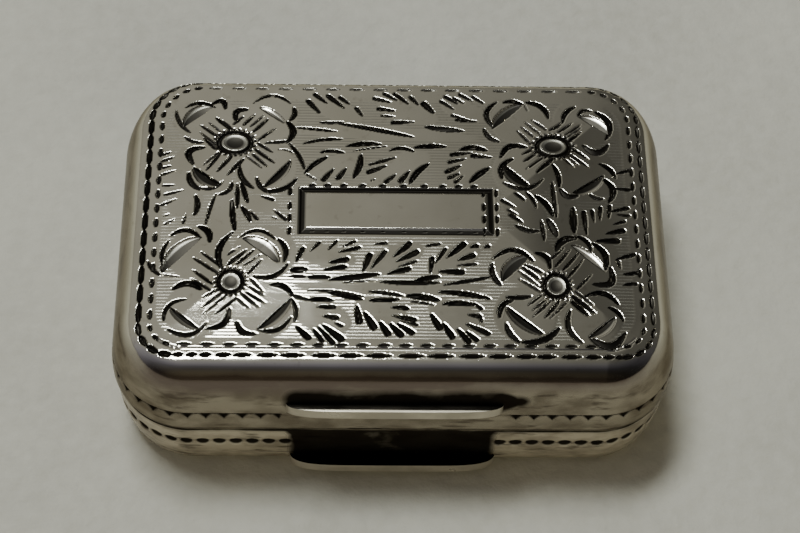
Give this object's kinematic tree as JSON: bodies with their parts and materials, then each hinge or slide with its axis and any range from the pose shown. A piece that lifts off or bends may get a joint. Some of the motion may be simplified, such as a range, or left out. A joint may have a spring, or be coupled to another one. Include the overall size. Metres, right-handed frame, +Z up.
{
  "type": "vinaigrette box",
  "caption": "Small cushion-shaped silver box with a hinged lid, a hinged pierced inner grille over a sponge, and thumbpieces on lid and base.",
  "frame": {"origin": "middle of the flat resting face, on the axis of the body's rounded rectangle", "axes": "+X along the box's length, to the right seen from the front; +Y from the thumbpieces to the hinge; +Z up"},
  "size_m": [0.0378, 0.0269, 0.013],
  "materials": {
    "silver": "worn, lightly tarnished sterling silver",
    "gilt": "soft mercury gilding on silver",
    "pin_silver": "drawn wire",
    "sponge": "dry natural sponge"
  },
  "bodies": {
    "base": {"base_shell": "silver", "base_bezel": "gilt", "grille_ledge": "gilt", "base_hinge_bearer": "silver", "base_knuckle_left": "silver", "base_knuckle_middle": "silver", "base_knuckle_right": "silver", "hinge_pin": "pin_silver", "hinge_plug_left": "silver", "hinge_plug_right": "silver", "base_thumbpiece": "silver", "sponge": "sponge", "grille_side_knuckle_left": "gilt", "grille_side_knuckle_right": "gilt", "grille_pin": "pin_silver"},
    "lid": {"lid_shell": "silver", "lid_thumbpiece": "silver", "lid_hinge_bearer": "silver", "lid_knuckle_left": "silver", "lid_knuckle_right": "silver"},
    "grille": {"grille_plate": "gilt", "grille_tab": "gilt", "grille_knuckle": "gilt"}
  },
  "joints": [
    {"name": "lid_hinge", "type": "hinge", "parent": "base", "child": "lid", "pos_m": [0, 0.0126, 0.0058], "axis": [-1, 0, 0], "range_deg": [0, 100]},
    {"name": "grille_hinge", "type": "hinge", "parent": "base", "child": "grille", "pos_m": [0, 0.01038, 0.00498], "axis": [-1, 0, 0], "range_deg": [0, 75]}
  ],
  "couplings": [
    {"joint": "grille_hinge", "follows": "lid_hinge", "ratio": 0.75}
  ]
}
